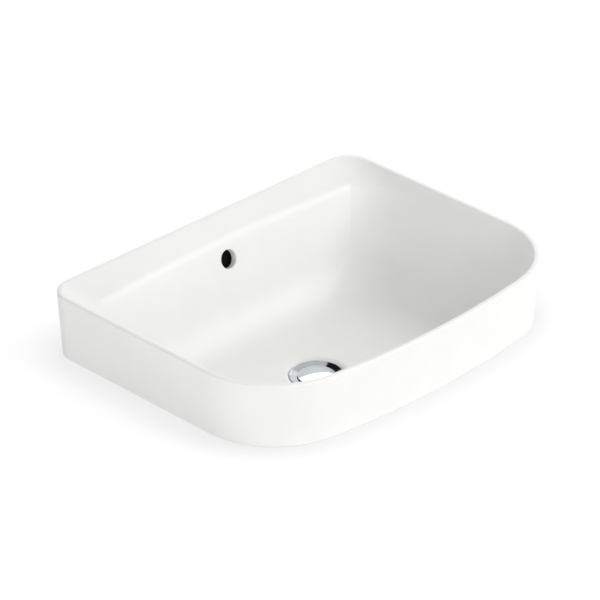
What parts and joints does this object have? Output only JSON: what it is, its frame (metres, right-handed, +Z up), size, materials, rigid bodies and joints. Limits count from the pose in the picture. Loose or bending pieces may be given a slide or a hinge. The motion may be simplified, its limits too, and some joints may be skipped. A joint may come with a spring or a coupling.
{
  "type": "countertop basin",
  "caption": "Semi-inset countertop wash basin in glazed ceramic with a thin rim, an overflow and a push-button pop-up waste.",
  "frame": {"origin": "on the ground bearing face of the skirt, in the middle of the back edge, at the height of the countertop's surface", "axes": "+Z up out of the bowl, +Y towards the wall behind the basin, -Y towards the user, +X to the right as the user sees it"},
  "size_m": [0.5196, 0.3996, 0.23],
  "materials": {
    "vitreous_china": "gloss white glaze",
    "chrome_waste": "polished chrome plate on brass",
    "black_rubber": "matt",
    "white_plastic": "smooth polyethylene",
    "cast_brass": "satin, as machined",
    "chrome_plug": "polished chrome plate on brass",
    "turned_brass": "turned",
    "spring_steel": "ground stainless",
    "acetal": "moulded acetal"
  },
  "bodies": {
    "basin": {"basin_body": "vitreous_china", "waste_body": "chrome_waste", "flange_gasket": "black_rubber", "waste_seal": "black_rubber", "slip_washer": "white_plastic", "back_nut": "cast_brass", "cartridge_housing": "turned_brass", "cartridge_top_ring": "turned_brass", "return_spring": "spring_steel"},
    "plug": {"plug_cap": "chrome_plug", "plug_seal": "black_rubber", "plug_stem": "turned_brass", "guide_pin": "spring_steel", "stem_lock_nut": "turned_brass"},
    "index": {"indexing_sleeve": "acetal"}
  },
  "joints": [
    {"name": "plug_lift", "type": "slide", "parent": "basin", "child": "plug", "axis": [0, 0, 1], "range_m": [-0.0008, 0.009], "deforming": ["return_spring"]},
    {"name": "sleeve_turn", "type": "hinge", "parent": "basin", "child": "index", "pos_m": [0, -0.1901, -0.09], "axis": [0, 0, 1], "range_deg": [-5, 46]}
  ],
  "couplings": [
    {"joint": "sleeve_turn", "follows": "plug_lift", "rad_per_m": 87.266}
  ]
}
